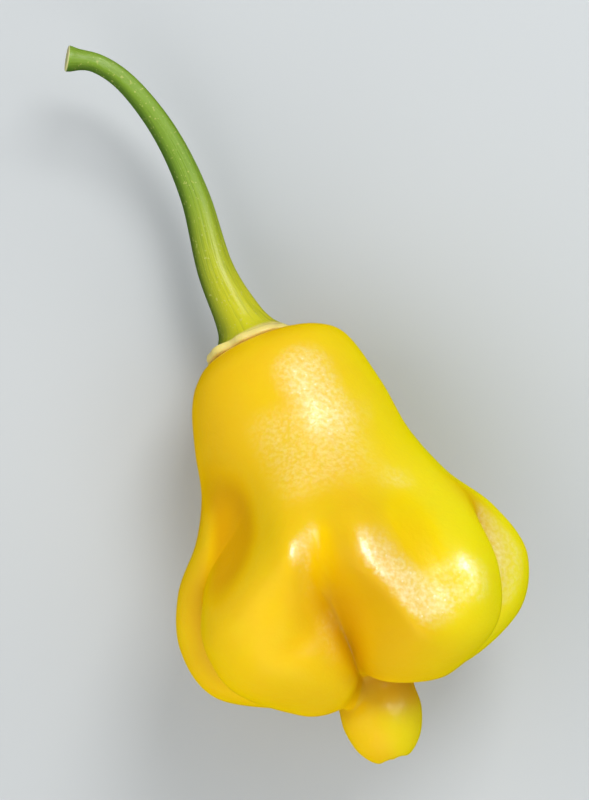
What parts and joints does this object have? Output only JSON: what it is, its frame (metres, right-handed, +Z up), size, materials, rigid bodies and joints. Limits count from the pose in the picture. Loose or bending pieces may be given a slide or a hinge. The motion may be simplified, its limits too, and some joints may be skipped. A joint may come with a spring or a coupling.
{
  "type": "bishop's crown pepper",
  "caption": "Bell-shaped yellow chilli pepper with swollen lobes round its crown, a small knob at the tip and a long arched stem, picked and lying on its back.",
  "frame": {"origin": "on the ground, below the middle of the whole pepper with its stem", "axes": "+Z up from the ground it lies on; +Y along the length of fruit and stem together, towards the stem; +X to the right for somebody who looks down on it with +Y away from them"},
  "size_m": [0.0755, 0.116, 0.0503],
  "materials": {
    "skin": "gloss",
    "stalk": "satin"
  },
  "bodies": {
    "root": {"fruit": "skin", "stem_and_calyx": "stalk"}
  },
  "joints": []
}
